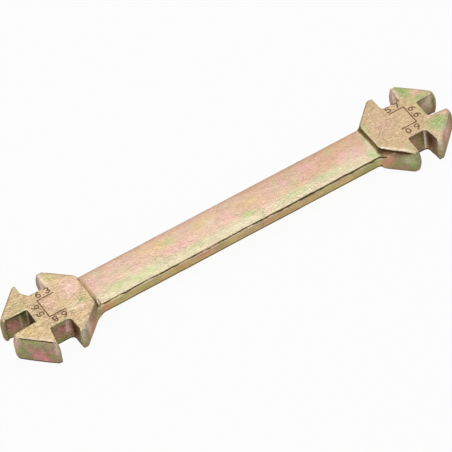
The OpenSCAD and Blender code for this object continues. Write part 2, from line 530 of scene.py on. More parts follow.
def slope_at(points, field):
    """A field's value and gradient at points, from four probes round each."""
    value, slope = 0, np.zeros(points.shape)
    for way in ((1, -1, -1), (-1, -1, 1), (-1, 1, -1), (1, 1, 1)):
        moved = points + PROBE * np.array(way)
        here = field(*moved.T)
        value = value + here / 4
        slope += here[:, None] * np.array(way) / (4 * PROBE)
    return value, slope


def settle(points, field, reach):
    """Points moved onto the surface where the field is zero, and the surface's normals there."""
    for _ in range(SETTLE_ROUNDS):
        value, slope = slope_at(points, field)
        length = np.maximum(np.linalg.norm(slope, axis=1), LEAST_SLOPE)
        move = np.clip(value / length, -reach, reach)
        points = points - slope * (move / length)[:, None]
    _, slope = slope_at(points, field)
    return points, slope / np.maximum(np.linalg.norm(slope, axis=1), TINY)[:, None]


def bend_at(points, field, size):
    """How sharply the surface bends at points: positive on outer edges, negative in hollows."""
    here = field(*points.T)
    moves = [way * size * axis for axis in np.eye(3) for way in (-1, 1)]
    around = 0
    for move in moves:
        around = around + field(*(points + move).T) / len(moves)
    return len(moves) * (around - here) / size ** 2


def add_object(name, data):
    """A new object in the scene."""
    thing = bpy.data.objects.new(name, data)
    bpy.context.scene.collection.objects.link(thing)
    return thing


def make_piece(name, points, quads, material):
    """A mesh object from points in millimetres, which rides on the wrench's one body."""
    mesh = bpy.data.meshes.new(name)
    mesh.from_pydata((points * MM).tolist(), [], quads.tolist())
    mesh.polygons.foreach_set("use_smooth", np.ones(len(quads), bool))
    mesh.update()
    piece = add_object(name, mesh)
    mesh.materials.append(material)
    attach(piece, "root")
    return piece


def paint(mesh, name, values):
    """Stores one number for each point of a mesh, for its material to read."""
    layer = mesh.attributes.new(name, "FLOAT", "POINT")
    layer.data.foreach_set("value", np.asarray(values, np.float32))


def arc(centre, radii, start, end, count=12):
    """Points on an ellipse from one angle in degrees to another."""
    angles = np.radians(np.linspace(start, end, count + 1))
    return [(centre[0] + radii[0] * math.cos(a), centre[1] + radii[1] * math.sin(a)) for a in angles]


# Strokes of each figure, in shares of its width and height
FIGURES = {
    "0": [arc((0.5, 0.5), (0.5, 0.5), 0, 360, 20)],
    "3": [arc((0.45, 0.75), (0.48, 0.25), 150, -90), arc((0.45, 0.26), (0.55, 0.26), 90, -150)],
    "5": [[(0.95, 1), (0.12, 1), (0.04, 0.55)], arc((0.45, 0.31), (0.55, 0.31), 130, -150)],
    "6": [arc((0.5, 0.3), (0.5, 0.3), 0, 360, 18), arc((0.95, 0.3), (0.95, 0.7), 180, 95)],
    "7": [[(0, 1), (1, 1), (0.35, 0)]],
    "8": [arc((0.5, 0.77), (0.42, 0.23), 0, 360, 16), arc((0.5, 0.28), (0.5, 0.28), 0, 360, 18)],
}


def moved(place, up, across, along):
    """A place moved across a figure and along it, where up is the way to the figure's top."""
    return (place[0] + across * up[1] + along * up[0], place[1] - across * up[0] + along * up[1])


def figure_segments(figure, centre, up):
    """Line segments of one figure on a head's top face."""
    segments = []
    for stroke in FIGURES[figure]:
        places = [moved(centre, up, (a - 0.5) * DIGIT_W, (h - 0.5) * DIGIT_H) for a, h in stroke]
        segments += zip(places[:-1], places[1:])
    return segments


def size_segments(size):
    """Segments of the two figures of a slot's size, and the place of the dot between them."""
    segments = []
    for figure, side in zip(size.figures, (-1, 1)):
        at = moved(size.centre, size.up, side * DIGIT_PITCH / 2, 0)
        segments += figure_segments(figure, at, size.up)
    return segments, moved(size.centre, size.up, 0, -DIGIT_H / 2)


def mark_field(x, y, z, strokes, dots, top):
    """Field of the engraved strokes of one head, each a segment and its width."""
    across = np.inf
    for (px, py), (qx, qy), width in strokes:
        dx, dy = qx - px, qy - py
        along = np.clip(((x - px) * dx + (y - py) * dy) / (dx * dx + dy * dy), 0, 1)
        gap = np.hypot(x - px - along * dx, y - py - along * dy)
        across = np.minimum(across, gap - width / 2)
    across = across - MARK_WEAR * noise(x, y, 0 * x, MARK_WEAR_SIZE, MARK_WEAR_SEED)
    for dot_x, dot_y in dots:
        across = np.minimum(across, np.hypot(x - dot_x, y - dot_y) - DOT_R)
    half_depth = (MARK_SINK + MARK_PROUD) / 2
    return np.maximum(across, np.abs(z - top + half_depth) - half_depth)


def engrave(name, bracket, sizes, material):
    """The engraved bracket and the three sizes round it, as thin strokes let into a head's top."""
    corners = [(bracket.leg_x, bracket.near_y), (bracket.cross_x, bracket.near_y),
               (bracket.cross_x, bracket.far_y), (bracket.leg_x, bracket.far_y)]
    strokes = [(first, second, MARK_W) for first, second in zip(corners[:-1], corners[1:])]
    dots = []
    for size in sizes:
        segments, dot = size_segments(size)
        strokes += [(*segment, DIGIT_STROKE) for segment in segments]
        dots.append(dot)
    ends = np.array([end for stroke in strokes for end in stroke[:2]])
    top = HEAD_T - FACE_INSET + MARK_PROUD
    bottom, skin = top - MARK_SINK - MARK_PROUD, MARK_PROUD
    lows, highs = ends.min(axis=0) - MARK_MARGIN, ends.max(axis=0) + MARK_MARGIN
    lines = [grid_lines(low, high, MARK_STEP) for low, high in zip(lows, highs)]
    lines.append(np.array([bottom - skin, bottom + skin, top - skin, top + skin]))
    x, y, z = np.meshgrid(*lines, indexing="ij", sparse=True)
    points, quads = surface_net(lines, mark_field(x, y, z, strokes, dots, top))
    make_piece(name, points, quads, material)


def linear(red, green, blue):
    """A colour as picked on a screen, from 0 to 255, turned into the shader's values."""
    shares = [c / 255 for c in (red, green, blue)]
    return tuple(s / 12.92 if s <= 0.04045 else ((s + 0.055) / 1.055) ** 2.4 for s in shares) + (1,)


class Graph:
    """Short calls that add nodes to a material or a world, whose own shader is linked to its surface."""

    def __init__(self, owner):
        owner.use_nodes = True
        self.nodes = owner.node_tree.nodes
        self.links = owner.node_tree.links
        self.shader = self.links[0].from_node
        self.surface = self.links[0].to_socket

    def place(self):
        """Places in the object's own frame."""
        return self.nodes.new("ShaderNodeTexCoord").outputs["Object"]

    def plug(self, value, socket):
        """Sets a socket to a value or to one of the named colours, or links another socket to it."""
        if isinstance(value, bpy.types.NodeSocket):
            self.links.new(value, socket)
        else:
            socket.default_value = linear(*COLOURS[value]) if isinstance(value, str) else value

    def attribute(self, name):
        """One of the numbers painted on the mesh."""
        node = self.nodes.new("ShaderNodeAttribute")
        node.attribute_name = name
        return node.outputs["Fac"]

    def noise(self, size, detail=2, stretch=(1, 1, 1), distortion=0.0):
        """Noise with lumps about size millimetres across, longer along an axis by its stretch."""
        scale = self.nodes.new("ShaderNodeMapping")
        scale.inputs["Scale"].default_value = [1 / (size * MM * s) for s in stretch]
        self.links.new(self.place(), scale.inputs["Vector"])
        node = self.nodes.new("ShaderNodeTexNoise")
        node.inputs["Scale"].default_value = 1
        node.inputs["Detail"].default_value = detail
        node.inputs["Distortion"].default_value = distortion
        self.links.new(scale.outputs["Vector"], node.inputs["Vector"])
        return node.outputs["Fac"]

    def between(self, value, low, high, low_out=0.0, high_out=1.0):
        """Smooth rise from low_out to high_out as the value goes from low to high."""
        node = self.nodes.new("ShaderNodeMapRange")
        node.interpolation_type = "SMOOTHSTEP"
        for name, given in zip(("Value", "From Min", "From Max", "To Min", "To Max"),
                               (value, low, high, low_out, high_out)):
            self.plug(given, node.inputs[name])
        return node.outputs["Result"]

    def math(self, operation, a, b=0.0, clamp=False):
        """One sum, held between 0 and 1 if clamp is set."""
        node = self.nodes.new("ShaderNodeMath")
        node.operation = operation
        node.use_clamp = clamp
        self.plug(a, node.inputs[0])
        self.plug(b, node.inputs[1])
        return node.outputs[0]

    def either(self, head, on_bar, on_head):
        """One value on the handle, and another on the heads."""
        return self.between(head, 0, 1, on_bar, on_head)

    def plus(self, a, b):
        """The sum of two values."""
        return self.math("ADD", a, b)

    def minus(self, a, b):
        """The first value less the second."""
        return self.math("SUBTRACT", a, b)

    def times(self, a, b):
        """The product of two values."""
        return self.math("MULTIPLY", a, b)

    def mix(self, share, a, b):
        """Colour a turned into colour b by a share."""
        node = self.nodes.new("ShaderNodeMix")
        node.data_type = "RGBA"
        self.plug(share, node.inputs["Factor"])
        self.plug(a, node.inputs["A"])
        self.plug(b, node.inputs["B"])
        return node.outputs["Result"]

    def shaded(self, colour, shade):
        """A colour made darker or lighter by a factor."""
        node = self.nodes.new("ShaderNodeVectorMath")
        node.operation = "SCALE"
        self.links.new(colour, node.inputs[0])
        self.links.new(shade, node.inputs["Scale"])
        return node.outputs["Vector"]

    def sight(self, camera_share):
        """A share of what the camera sees, and all of what is mirrored or seen through glass."""
        path = self.nodes.new("ShaderNodeLightPath").outputs
        mirrored = self.math("MAXIMUM", path["Is Glossy Ray"], path["Is Transmission Ray"])
        return self.math("MAXIMUM", self.times(path["Is Camera Ray"], camera_share), mirrored)

    def blend(self, share, first, second):
        """Gives the surface one shader turned into another by a share."""
        node = self.nodes.new("ShaderNodeMixShader")
        for value, socket in zip((share, first, second), node.inputs):
            self.links.new(value, socket)
        self.links.new(node.outputs[0], self.surface)


def clouded_tints(g, head):
    """Strength of each tint, and of the painted highlight and painted shade: its painted patches, with wavy
    edges and small clouds added to those of rose and green.
    """
    tints = {name: g.attribute(name) for name in TINTS_AND_LIGHT}
    cloud_share = g.either(head, 0.26, 0.07)
    wave = g.times(g.minus(g.noise(1.8, detail=1), NOISE_MEAN), TINT_WAVE_SHARE)
    for name, size in (("rose", 6.0), ("green", 5.0)):
        cloud = g.between(g.noise(size, detail=1, distortion=0.6), low=0.5, high=0.7)
        wavy = g.math("ADD", tints[name], g.times(wave, tints[name]), clamp=True)
        tints[name] = g.math("ADD", g.times(cloud, cloud_share), wavy, clamp=True)
    return tints


def top_colour(g, x, y, head, tints):
    """Colour of the broad faces: the handle's three strips, the far one painted shade, the heads, and the
    tints and painted highlights over both.
    """
    wavy_y = g.plus(y, g.times(g.noise(8), 6 * MM))
    near = g.between(wavy_y, low=2.2 * MM, high=-1.2 * MM)
    to_right = g.between(x, low=-12 * MM, high=30 * MM)
    # Painted shade on the handle's far strip
    far_edge_shade = g.between(y, low=4.6 * MM, high=7 * MM, high_out=0.6)
    colour = g.mix(to_right, "handle_far_left", "handle_far_right")
    colour = g.mix(near, colour, "handle_near")
    colour = g.mix(far_edge_shade, colour, "handle_far_edge_shade")
    colour = g.mix(head, colour, "head_top")
    colour = g.mix(tints["gold"], colour, "top_gold")
    colour = g.mix(tints["rose"], colour, "top_rose")
    colour = g.mix(tints["green"], colour, g.mix(head, "handle_green", "head_green"))
    # Painted highlights of the pale patches
    return g.mix(tints["pale"], colour, "top_highlight")


def shaded_flank_colour(g, head, tints):
    """Colour of the sides and of the slots' cut walls, darker than the broad faces as painted shade, with
    the tints, painted highlights and painted shade of the patches over both.
    """
    colour = g.mix(head, "handle_flank_shade", "head_flank_shade")
    colour = g.mix(g.attribute("cut"), colour, "cut_wall")
    # The pale patches paint highlights and the dark ones paint shade
    for name in ("gold", "rose", "green", "pale", "dark"):
        colour = g.mix(tints[name], colour, "flank_" + name)
    return colour


def lap_line(g, x):
    """Strength of the dark line of the laps, painted shade in their grooves, which is thicker in places and
    boldest near the right head.
    """
    reach = g.between(g.noise(3.6), low=0.4, high=0.6, low_out=0.5, high_out=1.8)
    reach = g.plus(reach, g.between(x, low=-20 * MM, high=10 * MM, high_out=0.4))
    bold = g.times(g.between(x, low=0, high=30 * MM), g.between(x, low=53.5 * MM, high=52 * MM))
    reach = g.plus(reach, g.times(bold, LAP_BOLD_REACH))
    return g.between(g.attribute("lap"), low=reach, high=LAP_CORE_REACH)


def edged(g, x, colour):
    """A colour with painted shade on the step, at the foot, on the rims, in the hollows and in the laps,
    and painted highlights on the edges, laid over it.
    """
    # Painted shade on the steps' walls, with lighter streaks
    streaks = g.between(g.noise(0.7, stretch=(1, 5, 1)), low=0.35, high=0.6)
    colour = g.mix(g.attribute("step"), colour, g.mix(streaks, "step_shade", "step_shade_streak"))
    # Painted shade at the left step's foot, deeper in its near nook, and along the rims and far edges
    for name in ("foot", "nook_shade", "rim_shade"):
        colour = g.mix(g.attribute(name), colour, name)
    # Painted highlights on the near-facing top edges, the band's top edge, the lip and over the die laps
    colour = g.mix(g.times(g.attribute("edge"), EDGE_HIGHLIGHT_SHARE), colour, "edge_highlight")
    # Painted shade in hollows
    colour = g.mix(g.attribute("hollow_shade"), colour, "hollow_shade")
    # Painted shade in the laps' grooves
    return g.mix(lap_line(g, x), colour, "lap")


def creases(g, head):
    """Strength of the forging's curling creases and of the ridge beside each, stronger on the heads."""
    fold = g.minus(g.noise(3.2, stretch=(2, 1, 1), distortion=1.2), NOISE_MEAN)
    folded = g.between(g.noise(9, detail=1), low=0.42, high=0.56)
    folded = g.times(folded, g.either(head, 0.6, 1))
    lines = [g.math("ABSOLUTE", line) for line in (fold, g.minus(fold, RIDGE_GAP))]
    return [g.times(g.between(line, low=CREASE_W, high=0), folded) for line in lines]


def plated_steel():
    """Satin yellow-zinc plating: gold, with soft rose and green clouds, painted shade that darkens the
    sides, and painted highlights on edges.
    """
    material = bpy.data.materials.new("plated_steel")
    g = Graph(material)
    axes = g.nodes.new("ShaderNodeSeparateXYZ")
    g.links.new(g.place(), axes.inputs[0])
    x, y, _ = axes.outputs
    head = g.attribute("head")
    tints = clouded_tints(g, head)
    # The steep sides take the darker flank colour, which is painted shade
    colour = g.mix(g.attribute("side"), top_colour(g, x, y, head, tints), shaded_flank_colour(g, head, tints))
    colour = edged(g, x, colour)

    # Fine wrinkles that run along the wrench, stronger on the heads, with blotches and curling creases
    crease, ridge = creases(g, head)
    wrinkle = g.noise(0.75, stretch=(1.8, 1, 1), distortion=1.4)
    grain = g.minus(g.noise(0.42, detail=3, stretch=(1.6, 1, 1)), NOISE_MEAN)
    grain = g.plus(grain, g.minus(wrinkle, WRINKLE_MEAN))
    head_grain = g.between(x, low=-30 * MM, high=30 * MM, low_out=0.95, high_out=0.7)
    grain = g.times(grain, g.either(head, 0.24, head_grain))
    blotch = g.minus(g.noise(1.5, stretch=(1.4, 1, 1)), NOISE_MEAN)
    blotch = g.times(blotch, g.either(head, 0.3, 0.46))
    shade = g.plus(g.plus(grain, blotch), 1)
    # Painted shade in the creases and painted highlights on the ridges beside them
    shade = g.minus(shade, g.times(crease, CREASE_SHADE))
    shade = g.plus(shade, g.times(ridge, RIDGE_SHINE))
    g.links.new(g.shaded(colour, shade), g.shader.inputs["Base Color"])

    g.shader.inputs["Metallic"].default_value = 0.65
    g.shader.inputs["Specular Tint"].default_value = linear(*COLOURS["specular"])
    g.shader.inputs["Specular IOR Level"].default_value = 0.3
    roughness = g.between(g.noise(1.2, detail=3), low=0.3, high=0.7, low_out=0.34, high_out=0.48)
    g.links.new(roughness, g.shader.inputs["Roughness"])

    relief = g.times(g.noise(0.45, detail=3, stretch=(2, 1, 1)), g.either(head, 0.6, 1))
    relief = g.plus(relief, g.times(g.noise(1.6, stretch=(1.8, 1, 1), distortion=0.6), BROAD_HEIGHT))
    relief = g.plus(relief, g.times(wrinkle, g.either(head, 0.35, 0.7)))
    relief = g.minus(relief, g.times(crease, CREASE_DEPTH))
    relief = g.plus(relief, g.times(ridge, RIDGE_HEIGHT))
    bump = g.nodes.new("ShaderNodeBump")
    bump.inputs["Strength"].default_value = 0.6
    bump.inputs["Distance"].default_value = BUMP_HEIGHT * MM
    g.links.new(relief, bump.inputs["Height"])
    g.links.new(bump.outputs["Normal"], g.shader.inputs["Normal"])
    return material


def burnt_mark():
    """Matt brown of the engraved lines, a little uneven."""
    material = bpy.data.materials.new("burnt_mark")
    g = Graph(material)
    uneven = g.between(g.noise(0.5), low=0.35, high=0.7)
    g.links.new(g.mix(uneven, "mark_dark", "mark_light"), g.shader.inputs["Base Color"])
    g.shader.inputs["Metallic"].default_value = 0.2
    g.shader.inputs["Roughness"].default_value = 0.7
    return material


# Colours of the plating and of the engraving, with painted shade and painted highlights, from 0 to 255 as
# picked on a screen
COLOURS = {
    "handle_far_left": (221, 189, 166),
    "handle_far_right": (215, 179, 149),
    "handle_near": (212, 200, 168),
    # Painted shade on the handle's far strip
    "handle_far_edge_shade": (190, 146, 124),
    "head_top": (203, 177, 141),
    "top_gold": (220, 194, 134),
    "top_rose": (230, 181, 177),
    "handle_green": (182, 198, 140),
    "head_green": (164, 182, 118),
    # Painted highlight
    "top_highlight": (222, 214, 186),
    # Sides and cut walls: painted shade
    "handle_flank_shade": (202, 181, 126),
    "head_flank_shade": (151, 140, 107),
    "cut_wall": (152, 128, 97),
    "flank_gold": (206, 154, 108),
    "flank_rose": (206, 136, 138),
    "flank_green": (136, 156, 90),
    # Painted highlight and painted shade of the patches
    "flank_pale": (254, 230, 216),
    "flank_dark": (64, 46, 26),
    # Painted shade on the steps' walls, with lighter streaks
    "step_shade": (112, 92, 58),
    "step_shade_streak": (156, 140, 92),
    # Painted shade at the left step's foot and deeper in its near nook
    "foot": (196, 162, 128),
    "nook_shade": (124, 98, 62),
    # Painted shade on the lower rims and far edges
    "rim_shade": (66, 52, 32),
    # Painted highlight on edges
    "edge_highlight": (242, 230, 206),
    # Painted shade in hollows
    "hollow_shade": (116, 84, 46),
    # Painted shade in the laps' grooves
    "lap": (74, 50, 26),
    "specular": (196, 164, 120),
    "mark_dark": (112, 80, 50),
    "mark_light": (146, 110, 76),
}

# Patches where one tint of the plating stands out, the pale patches painted highlights and the dark ones
# painted shade: place, reach along each axis, and strength
GOLD = [
    (-59, 8.5, 9.2, 2.5, 2.2, 1.5, 0.3),
    (-73.5, -6, 9.2, 2.5, 2.5, 1.5, 0.55),
    (-66.5, -10, 9.2, 2.5, 2, 1.5, 0.35),
    (-57.5, -9, 9.2, 2, 2.5, 1.5, 0.3),
    (-28, 3.6, 7, 3, 1.6, 2, 0.5),
    (-22.5, 2.6, 7, 3.5, 2, 2, 0.7),
    (-7.5, 2.4, 7, 4, 2, 2, 0.7),
    (8, 1.5, 7, 4, 1.8, 2, 0.4),
    (24, 1, 7, 4, 1.6, 2, 0.3),
    (-48, -6.9, 4.6, 3, 1, 1.6, 0.9),
    (-22, -6.8, 4.6, 2.4, 1, 1.4, 0.8),
    (-14, -6.7, 4.6, 2.4, 1, 1.4, 0.8),
    (14, -6.6, 4.6, 5, 1, 1.4, 0.6),
    (52.4, -8.4, 4.4, 2, 2, 2, 0.8),
    (52.6, -7.9, 6.4, 1.6, 1.6, 1, 0.6),
    (-57.4, -11.8, 6, 1.6, 1.6, 2.4, 0.4),
    (71.4, -3, 9.2, 1.3, 1.1, 1.5, 0.8),
    (70.6, 2.6, 9.2, 1.2, 1.4, 1.5, 0.5),
]
ROSE = [
    # Left head's sides and slots
    (-73.2, -10.3, 3.2, 2.6, 2.6, 2.2, 1),
    (-71.8, -11.7, 1.4, 1.8, 1.8, 1.2, 0.8),
    (-70.3, -13.2, 5.5, 0.9, 0.9, 0.9, 0.6),
    (-75.7, -7.6, 6, 1.8, 1.8, 1.6, 0.25),
    (-78.1, -4.6, 5.5, 1, 1.3, 3.5, 0.8),
    (-75.2, 3.2, 4.8, 2, 1, 2.2, 0.75),
    (-64.6, -7.5, 5.4, 2.2, 1.5, 1.8, 0.4),
    (-61.8, -7.6, 5, 1.6, 1.5, 2.2, 0.6),
    (-55.6, -11.4, 5.5, 3, 3, 3.5, 0.55),
    (-60.5, 10.5, 7, 1, 4, 5, 0.5),
    # Left head's top
    (-54.8, 2.7, 9.2, 2.8, 3.4, 1.5, 0.9),
    (-55.6, -5.3, 9.2, 1.3, 1, 1.5, 0.6),
    (-62.8, 0.6, 9.2, 2.2, 3.4, 1.5, 0.35),
    # Handle
    (-48.2, 1.2, 7, 2, 2.4, 2, 0.45),
    (-39, 3.5, 7, 6, 2, 2, 0.4),
    (-24.8, -0.4, 7, 4, 1.5, 2, 0.4),
    (-17.5, -1.5, 7, 4, 1.6, 2, 0.45),
    (-3, 0.2, 7, 4.5, 1.8, 2, 0.7),
    (11, -2.8, 7, 2.5, 1.6, 2, 0.4),
    (19, 1.8, 7, 6, 2.6, 2, 0.6),
    (30, 3, 7, 5, 2.2, 2, 0.45),
    (43.5, -1, 7, 4, 2.4, 2, 1),
    (-48.5, -6.9, 4.6, 1.6, 1, 1.2, 0.3),
    (-12, -6.7, 5.2, 4, 1, 1.2, 0.45),
    (10, -6.6, 5, 6, 1, 1.2, 0.35),
    # Right head's sides and slots
    (51.9, -7.6, 7.6, 1, 1, 0.6, 0.6),
    (52.3, -8.3, 4.8, 1.6, 1.6, 1.4, 0.5),
    (54.3, -9.6, 6.6, 1.6, 1.6, 0.9, 0.35),
    (56.1, -11.9, 3, 1.2, 1.2, 1.2, 0.4),
    (73.7, 3.9, 5.6, 1.3, 1, 1.7, 1),
    (67.2, 11.7, 6, 1, 3, 4, 0.9),
    (62.3, -7.5, 5, 1, 1, 1.6, 0.4),
    (72.2, -10.2, 7, 3.5, 3.5, 3, 0.85),
    # Right head's top
    (72.8, 8.2, 9.2, 2, 1.3, 1.5, 0.5),
    (71.1, -3.6, 9.2, 1.3, 1, 1.5, 0.9),
    (75.4, -5, 9.2, 1.3, 1.2, 1.5, 0.7),
    (57, 2, 9.2, 4, 3, 1.5, 0.3),
]
GREEN = [
    (-70.8, -12.7, 3.2, 0.8, 0.8, 0.8, 1),
    (-77.2, -6.2, 3.6, 1.5, 1.5, 2, 0.8),
    (-76.1, -6.5, 8.3, 1.3, 1.3, 0.9, 0.7),
    (-73.6, -9, 8, 2, 2, 0.8, 0.6),
    (-77.3, 3.1, 2.6, 1, 1.5, 1.6, 0.8),
    (-70.8, 3, 7, 1.3, 1.2, 2.4, 0.6),
    (-73, 3.2, 8.2, 2.6, 1, 0.9, 0.5),
    (-63.6, -7.5, 8.6, 2.6, 1, 0.9, 0.45),
    (-64.8, -7.5, 0.8, 2.4, 1, 1.3, 1),
    (-60, -13.8, 6, 1.2, 0.9, 2.6, 0.75),
    (-54.1, -3.5, 9.2, 1.6, 1.2, 1.5, 0.6),
    (-51.4, -7.4, 5, 1.2, 1, 1.8, 0.8),
    (-57.5, 10.5, 9.2, 2, 1.6, 1.5, 0.35),
    (-71.6, 6.7, 9.2, 3, 2, 1.5, 0.25),
    (-45.2, -1, 7, 1.8, 1.4, 2, 0.35),
    (-42, -3.2, 7, 3.4, 1.6, 2, 0.65),
    (-32, -4, 7, 5, 1.4, 2, 0.5),
    (-20.5, 2.6, 7, 1.8, 1.5, 2, 0.65),
    (-14, -3.6, 7, 4, 1.2, 2, 0.4),
    (5.5, -2.6, 7, 2.6, 1.3, 2, 0.7),
    (21, -3.8, 7, 4, 1.2, 2, 0.45),
    (33.5, -3.2, 7, 4, 1.4, 2, 0.45),
    (-34, -6.9, 4.6, 6, 1, 2, 0.3),
    (46, -6.6, 4.6, 4, 1, 2, 0.45),
    (57, -12.6, 6, 2.2, 2.2, 1.6, 0.85),
    (58.2, -13.6, 4.2, 1.8, 1.4, 2.4, 0.8),
    (54.5, -10.2, 3.6, 1.5, 1.5, 1.5, 0.5),
    (75.6, 4, 6.4, 1.7, 1, 3, 1),
    (72.3, 3.6, 7.6, 1, 1, 1.6, 0.7),
    (49.2, -4.4, 7, 1.5, 2.4, 2, 0.7),
    (50.2, 0.5, 7, 0.7, 4, 1.5, 0.6),
    (70.5, 11, 9.2, 2, 1.2, 1.5, 0.4),
    (64.6, -7.5, 5.6, 0.9, 1, 2.2, 0.6),
    (68, -13.6, 6, 1, 0.8, 2.5, 0.4),
    (72.6, 5, 9.2, 2.4, 1.1, 1.5, 0.8),
    (69.3, 9, 9.2, 1, 2.6, 1.5, 0.6),
    (71.8, -7.4, 9.2, 3.4, 3.2, 1.5, 1),
    (71.2, -8.7, 9.2, 1.8, 1.8, 1.5, 0.6),
    (69, 12, 9.2, 2.2, 1.4, 1.5, 0.5),
    (70.6, 9, 9.2, 2, 1.8, 1.5, 0.5),
    (70.2, 1, 9.2, 1, 2.4, 1.5, 0.35),
    (52, 3, 9.2, 0.8, 3.5, 1.5, 0.5),
    (59.5, -10.5, 9.2, 1.5, 1.5, 1.5, 0.45),
]
# Painted highlights on walls and faces
HIGHLIGHT_PATCHES = [
    (-78.1, -4.6, 6, 1, 1, 3.5, 0.35),
    (-68.9, -14, 5.6, 0.7, 0.7, 3, 0.4),
    (-72.2, 3.1, 6, 0.35, 1, 3.5, 0.6),
    (-69.8, 3, 7.4, 0.3, 0.5, 2, 0.6),
    (-61.8, -7.5, 6.2, 0.6, 0.6, 2.8, 0.7),
    (-59.9, -13.9, 6.5, 0.9, 0.8, 2.5, 0.4),
    (-60.5, 10.5, 7, 1, 4, 5, 1),
    (-54.8, 2.7, 9.2, 2.6, 3.2, 1.5, 0.25),
    (-57, -4.5, 9.2, 2.4, 2, 1.5, 0.4),
    (-52, -8.3, 4, 2, 2, 2.5, 0.15),
    (-6.5, 2, 7, 2.4, 1.6, 2, 0.5),
    (1.5, -5.2, 7, 3, 1, 2, 0.6),
    (17, 1, 7, 4, 1.6, 2, 0.2),
    (44.7, -1.2, 7, 3.6, 2.2, 2, 0.25),
    (50, -1, 7, 0.9, 5, 1.5, 0.6),
    (52.6, -7.9, 6.4, 1.5, 1.5, 0.9, 0.15),
    (-57.6, -12, 6.5, 1.6, 1.6, 3, 0.65),
    (75.2, 4, 6.6, 2.2, 1, 3, 0.5),
    (57, -12.6, 6, 1.6, 1.6, 1.4, 0.3),
    (66.3, -7.6, 4.6, 0.28, 0.6, 5, 0.9),
    (67.2, 11.7, 6, 1, 3, 4, 1),
    (68, -13.7, 7, 1, 0.8, 3, 0.5),
    (59, -14, 5, 1.6, 1.6, 3, 0.1),
    (72.2, -10.2, 7, 3.5, 3.5, 3, 0.4),
]
# Painted shade in the slots, at their edges and in corners
SHADE_PATCHES = [
    (-69.5, 0, 4.6, 0.8, 3.5, 6, 0.75),
    (-71.5, 3.1, 9.2, 2.4, 1, 1.4, 0.8),
    (-74.6, 3.2, 9.2, 1.6, 1, 0.8, 0.6),
    (-60.1, -9.5, 4.6, 0.8, 2.6, 6, 0.7),
    (-67.2, -8.3, 7, 0.5, 1.2, 3, 0.7),
    (63.3, -7.5, 8.8, 2.2, 0.8, 0.9, 0.4),
    (67.2, -9.5, 6.5, 0.8, 2.5, 3.2, 0.55),
    (67.2, -11.5, 2.5, 0.8, 2, 2.2, 0.35),
    (-70.9, -11.6, 4.6, 1.3, 1.3, 1.3, 0.14),
    (-51.4, -7.6, 5.6, 1, 1.2, 1.8, 0.3),
    (54.6, -10, 7.4, 2.6, 2.6, 0.8, 0.4),
]
TINTS_AND_LIGHT = {"gold": GOLD, "rose": ROSE, "green": GREEN, "pale": HIGHLIGHT_PATCHES, "dark": SHADE_PATCHES}


def patches(points, places):
    """Strength at each point of a set of soft round patches."""
    total = np.zeros(len(points))
    for *numbers, strength in places:
        place, reach = np.array(numbers).reshape(2, 3)
        total += strength * np.exp(-(((points - place) / reach) ** 2).sum(1))
    return np.clip(total, 0, 1)


def forging_lines():
    """Grid lines along each axis: fine over the heads, and coarse along the bar between them."""
    reach = HEAD_X + HALF_DIAGONAL + MARGIN - END_ROOM
    neck = HEAD_X - RIGHT_STEP - FINE_ZONE
    heads = grid_lines(neck, reach, HEAD_STEP)
    bar = grid_lines(-neck, neck, BAR_STEP)[1:-1]
    half_w = SIDE_TIP + SIDE_BULGE + MARGIN
    return [
        np.concatenate([-heads[::-1], bar, heads]),
        grid_lines(-half_w, half_w, HEAD_STEP),
        grid_lines(-MARGIN, HEAD_T + MARGIN, HEAD_STEP),
    ]


def handle_lap(x, y, z):
    """Distance from the handle's lap, in widths of its painted line of shade."""
    beyond = ease(x - LAP_START, *LAP_LINE_START_FADE) + ease(x - LAP_END, *LAP_LINE_END_FADE)
    beyond = beyond + ease(y - LAP_SIDE_Y, *LAP_LINE_SIDE_FADE)
    return np.abs(lap_rise(x, y, z)) / LAP_LINE_W + FAR_FROM_LAP * beyond


def lobe_laps(x, y, z):
    """Share of the bulge at points, their distance from a lap, and the painted highlight over the die laps.
    """
    share, glow = np.ones(len(x)), np.zeros(len(x))
    lap = handle_lap(x, y, z)
    for head in (LEFT, RIGHT):
        mine = head.side * x > HEAD_X - head.step - STEP_ROOM
        u, v, top_gap = head.side * x[mine] - HEAD_X, y[mine], z[mine] - HEAD_T
        gap, share[mine] = outline_distance(u, v, head.points, head.shares)
        radius = groove_radius(head.groove, u, v, share[mine])
        # Distance from the painted line of shade in each die lap's groove
        away = (top_gap > -GROOVE_TOP_GAP) | (gap < -GROOVE_WALL_DEPTH) | (radius < GROOVE_LEAST_R)
        width = np.maximum(GROOVE_LINE_SHARE * radius + GROOVE_LINE_MORE, GROOVE_LINE_LEAST)
        groove_lap = np.abs(top_gap + head.groove.drop) / width + FAR_FROM_LAP * away
        lap[mine] = np.minimum(lap[mine], groove_lap)
        # Painted highlight on the top face beside the bold part of each die lap
        over = ease(flank_reach(head.groove, u, v), *GLOW_SIDE_FADE) * (radius > GROOVE_BOLD_R)
        glow[mine] = GLOW_SHARE * over * ease(top_gap, *GLOW_TOP_FADE)
    return share, lap, glow


